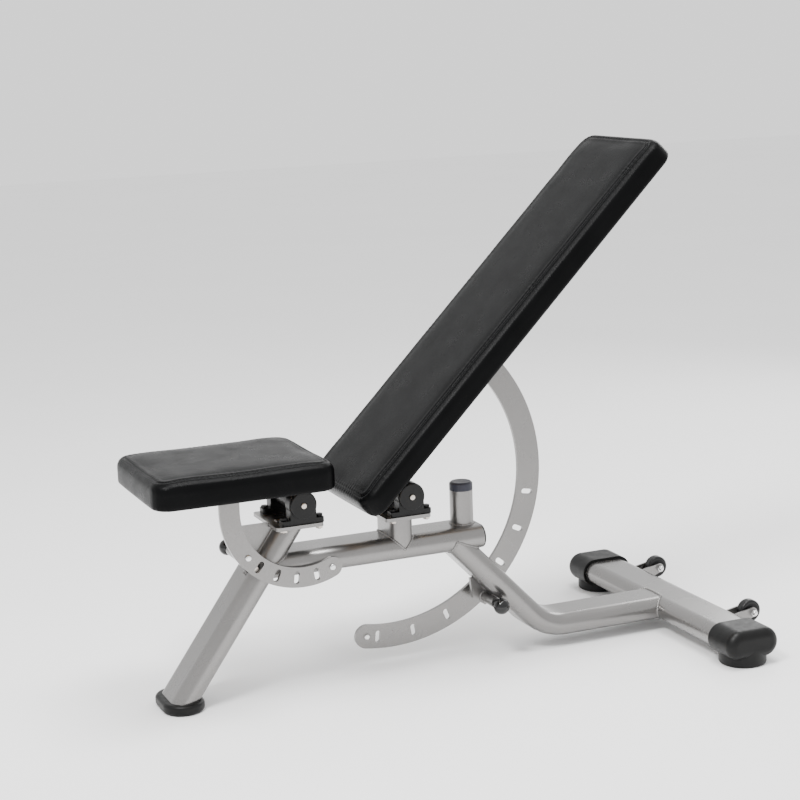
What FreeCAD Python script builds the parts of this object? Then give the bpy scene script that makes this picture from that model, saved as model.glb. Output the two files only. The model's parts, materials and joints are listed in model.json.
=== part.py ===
import FreeCAD, Part
import math
import os

import Sketcher

# Adjustable weight bench. +X runs from the seat end to the wheel end, +Y away, +Z up, floor at z = 0.
os.makedirs("parts", exist_ok=True)
doc = FreeCAD.newDocument("Bench")
sheet = doc.addObject("Spreadsheet::Sheet", "sizes")

# ---------------------------------------------------------------- driving sizes (mm, degrees)
SIZES = {
    # flat oval tube, front leg, main beam, rear leg
    "tube_wide": 105.4, "tube_thick": 47.6, "tube_wall": 3.0, "below_floor": 60.0,
    "leg_angle": 54.3, "leg_offset": 14.3, "beam_height": 262.0, "beam_overhang": 2.9,
    "rear_leg_x": 9.5, "rear_leg_angle": 46.5, "bend_radius": 105.0, "low_height": 46.8,
    "crossbar_x": 522.5, "crossbar_span": 650.0,
    # rubber feet and plastic caps
    "leg_lift": 9.0, "foot_grow": 12.0, "foot_high": 21.0, "foot_round": 7.0, "foot_shift": 3.0,
    "shoe_wall": 6.5, "shoe_end": 20.0, "shoe_cover": 63.0, "shoe_round": 19.0,
    "sole_radius": 48.0, "sole_inset": 28.0, "sole_round": 5.0,
    "beam_cap_thick": 3.5, "beam_cap_lap": 12.0, "cap_gap": 0.4,
    # post under the backrest
    "post_x": 44.3, "post_radius": 23.8, "post_drop": 0.4, "post_cap_high": 17.0,
    "post_cap_edge": 3.5, "post_cap_lap": 15.0,
    # hinges
    "stub_offset": 9.2, "seat_axis_x": -321.1, "seat_axis_z": 385.6,
    "back_axis_x": -94.8, "back_axis_z": 373.4, "back_angle": 45.1,
    "block_height": 38.0, "block_inner": 44.0, "block_width": 26.0, "block_length": 86.0,
    "block_radius": 28.0, "block_rebate": 1.5, "ear_high": 10.0,
    "plate_length": 97.0, "plate_thick": 7.0, "plate_shift": 7.5, "plate_rim": 4.0, "plate_corner": 8.0,
    "shaft_radius": 12.5, "bush_wall": 3.5, "running_gap": 0.05, "side_gap": 0.8,
    "disc_thick": 4.0, "disc_inset": 1.5, "screw_radius": 5.5, "screw_high": 3.0,
    # bolts
    "bolt_radius": 4.0, "bolt_edge": 7.0, "hex_flats": 13.0, "hex_high": 5.0, "nut_high": 6.5,
    "bolt_tail": 1.5,
    # slotted arcs and their stops
    "arc_gap": 1.3, "arc_thick": 8.0, "slot_wide": 11.0, "slot_long": 25.0,
    "seat_arc_radius": 145.0, "seat_arc_width": 40.0, "seat_pin_angle": 128.9, "seat_slot_step": 16.4,
    "seat_stop_angle": 12.0, "seat_end_angle": 13.5,
    "back_arc_radius": 320.2, "back_arc_width": 50.0, "back_pin_angle": 52.85, "back_slot_step": 14.3,
    "back_end_angle": 4.4, "stop_radius": 4.5, "stop_head": 6.5, "stop_high": 4.5, "stop_round": 3.5,
    # pull pins
    "pin_radius": 5.0, "pin_end_gap": 0.5, "pin_rest_gap": 0.8, "pin_travel": 9.0,
    "sleeve_radius": 10.5, "sleeve_wall": 2.2, "sleeve_lip": 6.0, "sleeve_guide": 16.0,
    "sleeve_setback": 7.0, "collar_thick": 4.0, "collar_gap": 0.4, "collar_room": 3.0,
    "wire_radius": 0.7, "coil_turns": 9.0, "coil_gap": 0.7,
    "knob_radius": 16.5, "neck_long": 12.0, "pin_hold": 12.0,
    "back_knob_reach": 65.6, "seat_knob_reach": 128.0,
    # gussets that carry the pin sleeves
    "sleeve_gap": 1.0, "gusset_near": 14.0, "gusset_thick": 8.0, "gusset_rim": 18.0, "gusset_lap": 1.0,
    "seat_gusset_drop": 40.0, "back_gusset_rise": 43.0,
    "back_gusset_lean": 32.0, "back_gusset_drop": 4.0,
    # pads, boards, rails and mounting plates
    "pad_width": 291.0, "pad_corner": 34.0, "pad_edge": 9.0, "board_thick": 12.0, "board_inset": 10.0,
    "seat_front": -632.0, "seat_rear": -274.0, "seat_thick": 53.5,
    "back_low": -84.0, "back_top": 849.0, "back_thick": 48.6,
    "hub_radius": 20.0, "hub_gap": 1.0, "rail_wide": 50.0, "rail_wall": 2.5, "rail_round": 3.0,
    "plug_thick": 3.0, "plug_gap": 0.5, "strip_corner": 6.0, "strip_bolt_inset": 18.0,
    "bolt_bite": 9.0, "pad_gap": 0.5,
    "seat_rail_low": 13.4, "seat_rail_tall": 22.0, "seat_sheet": 5.0,
    "seat_rail_front": 45.0, "seat_rail_rear": 12.0,
    "back_rail_low": 9.7, "back_rail_tall": 44.0, "back_sheet": 6.0,
    "back_rail_start": -26.0, "back_rail_end": 210.0,
    "seat_strip_x": 2.0, "seat_strip_long": 74.0, "seat_strip_inset": 50.5,
    "arc_strip_rim": 13.0, "front_strip_back": 73.0, "front_strip_long": 50.0, "strip_inset": 35.5,
    "back_strip_x": 16.0, "back_strip_long": 70.0, "back_strip_inset": 45.5, "top_strip_drop": 254.0,
    "arm_long": 48.0, "arm_tall": 38.0, "arm_wall": 5.0, "bumper_radius": 12.0, "bumper_high": 11.2,
    # wheels
    "wheel_back": 85.5, "wheel_rise": 17.2, "wheel_inset": 109.0, "wheel_radius": 24.0,
    "wheel_width": 21.0, "tyre_thick": 7.0, "tyre_round": 5.0, "wheel_gap": 3.0,
    "fork_thick": 4.0, "fork_tip": 10.5, "fork_root": 17.0,
    "dome_radius": 5.5, "dome_high": 5.0,
}


class Size:
    """A number together with the expression that gives it, so that every feature follows the sheet."""

    def __init__(self, value, text):
        self.value, self.text = value, text

    def join(self, other, sign, value):
        return Size(value, "(%s %s %s)" % (self.text, sign, size(other).text))

    def __add__(self, other):
        return self.join(other, "+", self.value + size(other).value)

    def __sub__(self, other):
        return self.join(other, "-", self.value - size(other).value)

    def __mul__(self, other):
        return self.join(other, "*", self.value * size(other).value)

    def __truediv__(self, other):
        return self.join(other, "/", self.value / size(other).value)

    def __radd__(self, other):
        return size(other) + self

    def __rsub__(self, other):
        return size(other) - self

    def __rmul__(self, other):
        return size(other) * self

    def __neg__(self):
        return Size(-self.value, "(0 - %s)" % self.text)


def size(number):
    return number if isinstance(number, Size) else Size(float(number), "(%s)" % repr(float(number)))


def sine(angle):
    return Size(math.sin(math.radians(angle.value)), "sin(%s * 1 deg)" % angle.text)


def cosine(angle):
    return Size(math.cos(math.radians(angle.value)), "cos(%s * 1 deg)" % angle.text)


def arcsine(share):
    return Size(math.degrees(math.asin(share.value)), "(asin(%s) / 1 deg)" % share.text)


S = {}
for row, (name, number) in enumerate(SIZES.items(), 1):
    sheet.set("A%d" % row, name)
    sheet.set("B%d" % row, str(number))
    sheet.setAlias("B%d" % row, name)
    S[name] = Size(number, "sizes." + name)
doc.recompute()


# ---------------------------------------------------------------- outlines
def pin_point(sketch, geo, pos, x, y):
    for kind, number in (("DistanceX", size(x)), ("DistanceY", size(y))):
        index = sketch.addConstraint(Sketcher.Constraint(kind, -1, 1, geo, pos, number.value))
        sketch.setExpression("Constraints[%d]" % index, number.text)


def fix(sketch, kind, geo, number):
    index = sketch.addConstraint(Sketcher.Constraint(kind, geo, size(number).value))
    sketch.setExpression("Constraints[%d]" % index, size(number).text)


def add_polygon(sketch, points):
    vectors = [FreeCAD.Vector(size(x).value, size(y).value, 0) for x, y in points]
    first = sketch.GeometryCount
    for i, start in enumerate(vectors):
        sketch.addGeometry(Part.LineSegment(start, vectors[(i + 1) % len(vectors)]), False)
    for i, (x, y) in enumerate(points):
        last = first + (i - 1) % len(points)
        sketch.addConstraint(Sketcher.Constraint("Coincident", last, 2, first + i, 1))
        pin_point(sketch, first + i, 1, x, y)


def add_rect(sketch, x, y, length, height):
    x, y, length, height = size(x), size(y), size(length), size(height)
    add_polygon(sketch, [(x - length / 2, y - height / 2), (x + length / 2, y - height / 2),
                         (x + length / 2, y + height / 2), (x - length / 2, y + height / 2)])


def add_hexagon(sketch, x, y, flats):
    reach = size(flats) / math.sqrt(3)
    add_polygon(sketch, [(x + reach * math.cos(math.radians(60 * i)),
                          y + reach * math.sin(math.radians(60 * i))) for i in range(6)])


def add_circle(sketch, x, y, radius):
    centre = FreeCAD.Vector(size(x).value, size(y).value, 0)
    geo = sketch.addGeometry(Part.Circle(centre, FreeCAD.Vector(0, 0, 1), size(radius).value), False)
    pin_point(sketch, geo, 3, x, y)
    fix(sketch, "Radius", geo, radius)


def add_oval(sketch, x, y, length, height):
    """Flat oval, longer along the sketch's first axis."""
    x, y, length, height = size(x), size(y), size(length), size(height)
    half, r = (length.value - height.value) / 2, height.value / 2
    ends = [(x - (length - height) / 2, 90, 270), (x + (length - height) / 2, -90, 90)]
    geos = []
    for end, start, stop in ends:
        circle = Part.Circle(FreeCAD.Vector(end.value, y.value, 0), FreeCAD.Vector(0, 0, 1), r)
        geos.append(sketch.addGeometry(
            Part.ArcOfCircle(circle, math.radians(start), math.radians(stop)), False))
        pin_point(sketch, geos[-1], 3, end, y)
    low, high = y.value - r, y.value + r
    bottom = sketch.addGeometry(Part.LineSegment(
        FreeCAD.Vector(x.value - half, low, 0), FreeCAD.Vector(x.value + half, low, 0)), False)
    top = sketch.addGeometry(Part.LineSegment(
        FreeCAD.Vector(x.value + half, high, 0), FreeCAD.Vector(x.value - half, high, 0)), False)
    for one, at, two, where in ((geos[0], 2, bottom, 1), (bottom, 2, geos[1], 1),
                                (geos[1], 2, top, 1), (top, 2, geos[0], 1)):
        sketch.addConstraint(Sketcher.Constraint("Tangent", one, at, two, where))
    fix(sketch, "Radius", geos[0], height / 2)


DRAW = {"polygon": add_polygon, "rect": add_rect, "hexagon": add_hexagon, "circle": add_circle,
        "oval": add_oval}
# plane: (role of the origin plane, +1 where the sketch faces the positive world axis)
PLANES = {"XY": ("XY_Plane", 1), "XZ": ("XZ_Plane", -1), "YZ": ("YZ_Plane", 1)}


def new_body(name, group=None):
    """A body; group "seat" or "back" draws it around that hinge, the backrest along its own slope."""
    body = doc.addObject("PartDesign::Body", name)
    body.Label = name
    body.AllowCompound = True
    if group:
        x, z = S[group + "_axis_x"], S[group + "_axis_z"]
        lean = S["back_angle"] if group == "back" else size(0)
        body.Placement = FreeCAD.Placement(FreeCAD.Vector(x.value, 0, z.value),
                                           FreeCAD.Rotation(FreeCAD.Vector(0, -1, 0), lean.value))
        body.setExpression("Placement.Base.x", x.text)
        body.setExpression("Placement.Base.z", z.text)
        if group == "back":
            body.setExpression("Placement.Rotation.Angle", lean.text)
    return body


def sketch_on(body, plane, shapes, base, turn=None, spin=None):
    """Sketch on an origin plane, offset by base in the plane's own axes.

    turn tips it about its first axis, spin rotates it about its own normal (only one of the two).
    """
    sketch = body.newObject("Sketcher::SketchObject", body.Name + "_outline")
    role = PLANES[plane][0]
    origin = [part for part in body.Origin.OriginFeatures if part.Role == role][0]
    sketch.AttachmentSupport = [(origin, "")]
    sketch.MapMode = "FlatFace"
    angle = size(turn if turn is not None else spin if spin is not None else 0)
    axis = FreeCAD.Vector(1, 0, 0) if turn is not None else FreeCAD.Vector(0, 0, 1)
    sketch.AttachmentOffset = FreeCAD.Placement(
        FreeCAD.Vector(*[size(b).value for b in base]),
        FreeCAD.Rotation(axis, angle.value))
    for name, number in zip("xyz", base):
        if isinstance(number, Size):
            sketch.setExpression("AttachmentOffset.Base." + name, number.text)
    if turn is not None or spin is not None:
        sketch.setExpression("AttachmentOffset.Rotation.Angle", angle.text)
    for shape in shapes:
        DRAW[shape[0]](sketch, *shape[1:])
    return sketch


def add(body, plane, shapes, low, high):
    """Pad from low to high along the plane's world axis."""
    side = PLANES[plane][1]
    sketch = sketch_on(body, plane, shapes, (0, 0, size(low) * side))
    pad = body.newObject("PartDesign::Pad", body.Name + "_pad")
    pad.Profile = sketch
    pad.Reversed = side < 0
    pad.setExpression("Length", (size(high) - low).text)
    doc.recompute()
    return pad


def remove(body, plane, shapes, low, high):
    """Pocket from low to high along the plane's world axis."""
    side = PLANES[plane][1]
    before = body.Shape.Volume
    sketch = sketch_on(body, plane, shapes, (0, 0, (size(high) if side > 0 else size(low)) * side))
    pocket = body.newObject("PartDesign::Pocket", body.Name + "_pocket")
    pocket.Profile = sketch
    pocket.setExpression("Length", (size(high) - low).text)
    doc.recompute()
    if not body.Shape.Volume < before:
        raise RuntimeError("pocket removed nothing in " + body.Label)
    return pocket


def tube_section(hollow=True, grow=0):
    wide, thick = S["tube_wide"] + 2 * size(grow), S["tube_thick"] + 2 * size(grow)
    outer = ("oval", 0, 0, wide, thick)
    inner = ("oval", 0, 0, wide - 2 * S["tube_wall"], thick - 2 * S["tube_wall"])
    return [outer, inner] if hollow else [outer]


def slanted(body, shapes, x, z, rise, length, cut=False):
    """Extrude a section whose second axis leans back by rise, from (x, z) along rise degrees above +X."""
    sketch = sketch_on(body, "YZ", shapes, (0, size(z), size(x)), -size(rise))
    feature = body.newObject("PartDesign::Pocket" if cut else "PartDesign::Pad", body.Name + "_run")
    feature.Profile = sketch
    feature.Reversed = cut
    feature.setExpression("Length", size(length).text)
    doc.recompute()
    return feature


def rounded(body, radius, wanted, kind="Fillet"):
    """Fillet or chamfer the edges for which wanted(edge) is true."""
    tip = body.Tip
    names = ["Edge%d" % (i + 1) for i, edge in enumerate(tip.Shape.Edges) if wanted(edge)]
    if not names:
        raise RuntimeError("no edges chosen in " + body.Label)
    feature = body.newObject("PartDesign::" + kind, body.Name + "_edge")
    feature.Base = (tip, names)
    feature.setExpression("Radius" if kind == "Fillet" else "Size", size(radius).text)
    body.Tip = feature
    doc.recompute()


def runs_along(axis):
    def wanted(edge):
        if not isinstance(edge.Curve, Part.Line):
            return False
        return abs(edge.tangentAt(edge.FirstParameter).dot(axis)) > 0.999
    return wanted


def lies_at(axis, number):
    """Edges that lie in the plane where the named axis has this value."""
    def wanted(edge):
        low, high = getattr(edge.BoundBox, axis + "Min"), getattr(edge.BoundBox, axis + "Max")
        return abs(low - size(number).value) < 0.1 and abs(high - size(number).value) < 0.1
    return wanted


def span(side, low, high):
    """The same stretch on either side of y = 0, as (low, high)."""
    return (size(low), size(high)) if side > 0 else (-size(high), -size(low))


def around(radius, angle):
    """Point on a circle about the hinge."""
    return radius * cosine(angle), radius * sine(angle)


X, Z = FreeCAD.Vector(1, 0, 0), FreeCAD.Vector(0, 0, 1)
THROUGH = 600.0  # longer than any piece that a cut goes through
half_thick, half_wide = S["tube_thick"] / 2, S["tube_wide"] / 2
half_span = S["crossbar_span"] / 2
arc_near = half_wide + S["arc_gap"]
arc_far = arc_near + S["arc_thick"]
block_outer = S["block_inner"] + S["block_width"]
rail_half = S["rail_wide"] / 2

# ---------------------------------------------------------------- lines of the frame
leg_sine, leg_cosine = sine(S["leg_angle"]), cosine(S["leg_angle"])
slope_sine, slope_cosine = sine(S["rear_leg_angle"]), cosine(S["rear_leg_angle"])
seat_plate_low = S["seat_axis_z"] - S["block_height"] - S["plate_thick"]
back_plate_low = S["back_axis_z"] - S["block_height"] - S["plate_thick"]
leg_foot_x = S["seat_axis_x"] - S["leg_offset"] - seat_plate_low * leg_cosine / leg_sine


def leg_x(height):
    """Where the front leg's axis is at this height."""
    return leg_foot_x + height * leg_cosine / leg_sine


def rear_x(height):
    """Where the rear leg's slope is at this height."""
    return S["rear_leg_x"] + (S["beam_height"] - height) * slope_cosine / slope_sine


def front_leg_run(body, shapes, length, cut=False):
    """The front leg's line, from below the floor so that its lower end can be cut level."""
    below = S["below_floor"]
    slanted(body, shapes, leg_x(-below), -below, S["leg_angle"], length, cut)


def cut_front_leg(body):
    front_leg_run(body, tube_section(False), THROUGH, True)


def cut_beam(body):
    slanted(body, tube_section(False), S["back_axis_x"] - THROUGH / 2, S["beam_height"], 0, THROUGH, True)


# ---------------------------------------------------------------- pull pin places
# The seat's sleeve is let half into the front leg, the back's sleeve hangs just under the rear leg.
seat_pin_radius = S["seat_arc_radius"] + (S["slot_long"] - S["slot_wide"]) / 2 - S["pin_end_gap"]
seat_over_leg = (S["block_height"] + S["plate_thick"]) * leg_cosine - S["leg_offset"] * leg_sine
back_over_leg = ((S["back_axis_x"] - S["rear_leg_x"]) * slope_sine
                 + (S["back_axis_z"] - S["beam_height"]) * slope_cosine)
PIN_ANGLE = {
    "seat": 180 - S["leg_angle"] + arcsine((half_thick - seat_over_leg) / seat_pin_radius),
    "back": S["rear_leg_angle"] + arcsine((half_thick + S["sleeve_gap"] + S["sleeve_radius"]
                                           + back_over_leg) / S["back_arc_radius"]),
}
PIN = {}
for group, radius in (("seat", seat_pin_radius), ("back", S["back_arc_radius"])):
    dx, dz = around(radius, -PIN_ANGLE[group])
    PIN[group] = (S[group + "_axis_x"] + dx, S[group + "_axis_z"] + dz)

# ---------------------------------------------------------------- frame tubes
front_leg = new_body("front_leg")
front_leg_run(front_leg, tube_section(), (seat_plate_low + 2 * S["below_floor"]) / leg_sine)
remove(front_leg, "XZ", [("rect", leg_foot_x, seat_plate_low + THROUGH / 2, 2 * THROUGH, THROUGH)],
       -half_wide, half_wide)
remove(front_leg, "XZ", [("rect", leg_foot_x, S["leg_lift"] - THROUGH / 2, THROUGH, THROUGH)],
       -half_wide, half_wide)
remove(front_leg, "XZ", [("circle",) + PIN["seat"] + (S["sleeve_radius"],)], -half_wide, half_wide)

# The rubber foot: a thick oval ring around the leg's lower end, closed at the floor.
front_foot = new_body("front_foot_cap")
foot_x = leg_x(S["foot_high"]) - S["foot_shift"]
foot_oval = ("oval", 0, 0, S["tube_wide"] + 2 * S["foot_grow"],
             S["tube_thick"] / leg_sine + 2 * S["foot_grow"])
slanted(front_foot, [foot_oval], foot_x, S["leg_lift"], 90, S["foot_high"] - S["leg_lift"])
cut_front_leg(front_foot)
slanted(front_foot, [foot_oval], foot_x, 0, 90, S["leg_lift"])
foot_left, foot_right = foot_x - foot_oval[4] / 2, foot_x + foot_oval[4] / 2
rounded(front_foot, S["foot_round"], lambda edge: lies_at("Z", S["foot_high"])(edge) and (
    edge.BoundBox.XMin < foot_left.value + 0.1 or edge.BoundBox.XMax > foot_right.value - 0.1))
rounded(front_foot, S["foot_round"], lies_at("Z", 0))

main_beam = new_body("main_beam")
beam_start = leg_x(S["beam_height"])
beam_end = S["post_x"] + S["post_radius"] + S["beam_overhang"]
slanted(main_beam, tube_section(), beam_start, S["beam_height"], 0, beam_end - beam_start)
cut_front_leg(main_beam)

beam_cap = new_body("beam_end_cap")
slanted(beam_cap, tube_section(False, -S["cap_gap"]), beam_end, S["beam_height"], 0, S["beam_cap_thick"])
slanted(beam_cap, tube_section(False, -S["tube_wall"]), beam_end - S["beam_cap_lap"], S["beam_height"],
        0, S["beam_cap_lap"])
rounded(beam_cap, S["beam_cap_thick"] / 2, lies_at("X", beam_end + S["beam_cap_thick"]))

rear_leg = new_body("rear_leg")
drop = S["beam_height"] - S["low_height"]
corner_x = rear_x(S["low_height"])
setback = S["bend_radius"] * (1 - slope_cosine) / slope_sine
bend_x, bend_z = corner_x - setback * slope_cosine, S["low_height"] + setback * slope_sine
slanted(rear_leg, tube_section(), corner_x + setback, S["low_height"], 0,
        S["crossbar_x"] - corner_x - setback)
bend = sketch_on(rear_leg, "YZ", tube_section(), (0, S["low_height"], corner_x + setback))
hinge_line = bend.addGeometry(Part.LineSegment(
    FreeCAD.Vector(-half_wide.value, S["bend_radius"].value, 0),
    FreeCAD.Vector(half_wide.value, S["bend_radius"].value, 0)), True)
pin_point(bend, hinge_line, 1, -half_wide, S["bend_radius"])
pin_point(bend, hinge_line, 2, half_wide, S["bend_radius"])
elbow = rear_leg.newObject("PartDesign::Revolution", "rear_leg_elbow")
elbow.Profile = bend
elbow.ReferenceAxis = (bend, ["Axis0"])
elbow.Reversed = False
elbow.setExpression("Angle", S["rear_leg_angle"].text)
doc.recompute()
slope_length = (drop - setback * slope_sine) / slope_sine
slanted(rear_leg, tube_section(), bend_x - slope_length * slope_cosine,
        bend_z + slope_length * slope_sine, -S["rear_leg_angle"], slope_length)
cut_beam(rear_leg)
cross_oval = ("oval", S["crossbar_x"], S["low_height"], S["tube_wide"], S["tube_thick"])
cross_bore = cross_oval[:3] + (S["tube_wide"] - 2 * S["tube_wall"], S["tube_thick"] - 2 * S["tube_wall"])
remove(rear_leg, "XZ", [cross_oval], -half_wide, half_wide)

crossbar = new_body("crossbar")
add(crossbar, "XZ", [cross_oval, cross_bore], -half_span, half_span)

stub = new_body("back_hinge_stub")
slanted(stub, tube_section(), S["back_axis_x"] - S["stub_offset"], S["beam_height"], 90,
        back_plate_low - S["beam_height"])
cut_beam(stub)

post = new_body("post")
post_cap = new_body("post_cap")
cap_top = S["back_axis_z"] - S["post_drop"]
post_top = cap_top - S["post_cap_high"]
post_circle = ("circle", S["post_x"], 0, S["post_radius"])
post_bore = ("circle", S["post_x"], 0, S["post_radius"] - S["tube_wall"])
add(post, "XY", [post_circle, post_bore], S["beam_height"] + half_thick, post_top)
add(post_cap, "XY", [post_circle], post_top, cap_top)
rounded(post_cap, S["post_cap_edge"], lies_at("Z", cap_top), "Chamfer")
add(post_cap, "XY", [post_bore], post_top - S["post_cap_lap"], post_top)

# Rubber shoes over the crossbar's ends, each with a round sole.
for name, end in (("near", -1), ("far", 1)):
    shoe = new_body(name + "_end_cap")
    tip, mouth = half_span + S["shoe_end"], half_span - S["shoe_cover"]
    shoe_oval = cross_oval[:3] + (S["tube_wide"] + 2 * S["shoe_wall"], S["tube_thick"] + 2 * S["shoe_wall"])
    add(shoe, "XZ", [shoe_oval], *span(end, mouth, tip))
    rounded(shoe, S["shoe_round"], lies_at("Y", end * tip))
    sole_y = end * (half_span - S["sole_inset"])
    add(shoe, "XY", [("circle", S["crossbar_x"], sole_y, S["sole_radius"])], 0, S["low_height"])
    rounded(shoe, S["sole_round"], lies_at("Z", 0))
    remove(shoe, "XZ", [cross_oval], *span(end, half_span / 2, half_span))

# ---------------------------------------------------------------- wheels behind the crossbar
wheel_x, wheel_z = S["crossbar_x"] + S["wheel_back"], S["low_height"] + S["wheel_rise"]
bracket = new_body("wheel_brackets")
axle = new_body("wheel_axles")
nut = new_body("wheel_cap_nuts")
half_wheel = S["wheel_width"] / 2
hub_radius = S["wheel_radius"] - S["tyre_thick"]
fork_outer = half_wheel + S["wheel_gap"] + S["fork_thick"]
fork_x = S["crossbar_x"] + half_wide - half_thick
on_axle = ("circle", wheel_x, wheel_z)
hex_on_axle = ("hexagon", wheel_x, wheel_z, S["hex_flats"])
for name, end in (("near", -1), ("far", 1)):
    middle = end * (half_span - S["sole_inset"] - S["wheel_inset"])
    for side in (-1, 1):
        plate = [middle + edge for edge in span(side, half_wheel + S["wheel_gap"], fork_outer)]
        add(bracket, "XZ", [("polygon", [
            (fork_x, S["low_height"] + S["fork_root"]), (wheel_x, wheel_z + S["fork_tip"]),
            (wheel_x, wheel_z - S["fork_tip"]), (fork_x, S["low_height"] - S["fork_root"])])], *plate)
        add(bracket, "XZ", [on_axle + (S["fork_tip"],)], *plate)
    around_fork = (middle - fork_outer, middle + fork_outer)
    remove(bracket, "XZ", [cross_oval], *around_fork)
    remove(bracket, "XZ", [on_axle + (S["bolt_radius"],)], *around_fork)

    tyre = new_body(name + "_wheel_tyre")
    add(tyre, "XZ", [on_axle + (S["wheel_radius"],), on_axle + (hub_radius,)],
        middle - half_wheel, middle + half_wheel)
    rounded(tyre, S["tyre_round"], lambda edge: edge.BoundBox.ZLength > 2 * hub_radius.value + 1)
    hub = new_body(name + "_wheel_hub")
    add(hub, "XZ", [on_axle + (hub_radius,), on_axle + (S["bolt_radius"] + S["running_gap"],)],
        middle - half_wheel, middle + half_wheel)

    near_face, far_face = around_fork
    add(axle, "XZ", [on_axle + (S["bolt_radius"],)], near_face - S["nut_high"], far_face)
    add(axle, "XZ", [hex_on_axle], far_face, far_face + S["hex_high"])
    add(nut, "XZ", [hex_on_axle], near_face - S["nut_high"], near_face)
    dome_tip = near_face - S["nut_high"] - S["dome_high"]
    add(nut, "XZ", [on_axle + (S["dome_radius"],)], dome_tip, near_face - S["nut_high"])
    remove(nut, "XZ", [on_axle + (S["bolt_radius"],)], near_face - S["nut_high"], near_face)
    rounded(nut, S["bolt_radius"], lies_at("Y", dome_tip))

# ---------------------------------------------------------------- hinges, the same under seat and back
bolt_x = S["block_length"] / 2 - S["bolt_edge"]
bolt_y = S["block_inner"] + S["block_width"] / 2
bolts = new_body("hinge_bolts")
nuts = new_body("hinge_nuts")
bushes = new_body("hinge_bushes")
for group in ("seat", "back"):
    # The fixed half of the hinge stays level under both pads, so it is drawn in world axes.
    axis_x, axis_z = S[group + "_axis_x"], S[group + "_axis_z"]
    top = axis_z - S["block_height"]
    low = top - S["plate_thick"]
    plate = new_body(group + "_hinge_plate")
    add(plate, "XY", [("rect", axis_x - S["plate_shift"], 0, S["plate_length"],
                       2 * (block_outer + S["plate_rim"]))], low, top)
    rounded(plate, S["plate_corner"], runs_along(Z))
    holes = [("circle", axis_x + i * bolt_x, j * bolt_y, S["bolt_radius"]) for i in (-1, 1) for j in (-1, 1)]
    heads = [("hexagon", x, y, S["hex_flats"]) for _, x, y, _ in holes]
    remove(plate, "XY", holes, low, top)

    ear_top = top + S["ear_high"]
    add(bolts, "XY", holes, low - S["nut_high"] - S["bolt_tail"], ear_top)
    add(bolts, "XY", heads, ear_top, ear_top + S["hex_high"])
    add(nuts, "XY", heads, low - S["nut_high"], low)
    remove(nuts, "XY", holes, low - S["nut_high"], low)

    blocks = new_body(group + "_bearings")
    add(blocks, "XY", [("rect", axis_x, end * bolt_y, S["block_length"], S["block_width"])
                       for end in (-1, 1)], top, ear_top)
    rounded(blocks, S["ear_high"] / 2, runs_along(Z))
    remove(blocks, "XY", holes, top, ear_top)
    for end in (-1, 1):
        across = span(end, S["block_inner"] + S["block_rebate"], block_outer)
        add(blocks, "XZ", [("rect", axis_x, axis_z - S["block_height"] / 2,
                            2 * (S["block_radius"] - S["block_rebate"]), S["block_height"])], *across)
        add(blocks, "XZ", [("circle", axis_x, axis_z, S["block_radius"])], *across)
        bush = ("circle", axis_x, axis_z, S["shaft_radius"] + S["bush_wall"])
        remove(blocks, "XZ", [bush], *across)
        add(bushes, "XZ", [bush, bush[:3] + (S["shaft_radius"] + S["running_gap"],)], *across)

# ---------------------------------------------------------------- turning parts of both hinges
disc_face = block_outer + S["side_gap"]
screw_face = disc_face + S["disc_thick"]
for group in ("seat", "back"):
    shaft = new_body(group + "_shaft", group)
    add(shaft, "XZ", [("circle", 0, 0, S["shaft_radius"])], -disc_face, disc_face)
    discs = new_body(group + "_hinge_discs", group)
    screws = new_body(group + "_hinge_screws", group)
    for end in (-1, 1):
        screw_tip = screw_face + S["screw_high"]
        add(discs, "XZ", [("circle", 0, 0, S["block_radius"] - S["disc_inset"])],
            *span(end, disc_face, screw_face))
        rounded(discs, S["disc_inset"], lies_at("Y", end * screw_face))
        add(screws, "XZ", [("circle", 0, 0, S["screw_radius"])], *span(end, screw_face, screw_tip))
        rounded(screws, S["screw_high"] / 2, lies_at("Y", end * screw_tip))


# ---------------------------------------------------------------- slotted arcs
def slotted_arc(group, side, start, count, end_angle, top_cut):
    radius, width, step = (S[group + name] for name in ("_arc_radius", "_arc_width", "_slot_step"))
    low, high = span(side, arc_near, arc_far)
    arc = new_body(group + "_arc", group)
    add(arc, "XZ", [("circle", 0, 0, radius + width / 2), ("circle", 0, 0, radius - width / 2)], low, high)
    remove(arc, "XZ", [("polygon", top_cut(*around(3 * radius, end_angle)))], low, high)
    add(arc, "XZ", [("circle",) + around(radius, end_angle) + (width / 2,)], low, high)
    outline = sketch_on(arc, "XZ", [("oval", radius, 0, S["slot_long"], S["slot_wide"])],
                        (0, 0, -low), spin=start)
    slot = arc.newObject("PartDesign::Pocket", group + "_slot")
    slot.Profile = outline
    slot.setExpression("Length", S["arc_thick"].text)
    doc.recompute()
    row = arc.newObject("PartDesign::PolarPattern", group + "_slots")
    row.Originals = [slot]
    row.Axis = ([part for part in arc.Origin.OriginFeatures if part.Role == "Y_Axis"][0], [""])
    row.Occurrences = count
    row.setExpression("Angle", (step * (count - 1)).text)
    arc.Tip = row
    doc.recompute()
    return arc


def stop_bolts(name, group, arc, side, angles):
    """Short bolts through the arc's ends, with round heads on the near face."""
    low, high = span(side, arc_near, arc_far)
    head = low - S["stop_high"]
    places = [("circle",) + around(S[group + "_arc_radius"], angle) for angle in angles]
    shanks = [place + (S["stop_radius"],) for place in places]
    remove(arc, "XZ", shanks, low, high)
    body = new_body(name, group)
    add(body, "XZ", shanks, low, high)
    add(body, "XZ", [place + (S["stop_head"],) for place in places], head, low)
    rounded(body, S["stop_round"], lies_at("Y", head))


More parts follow.
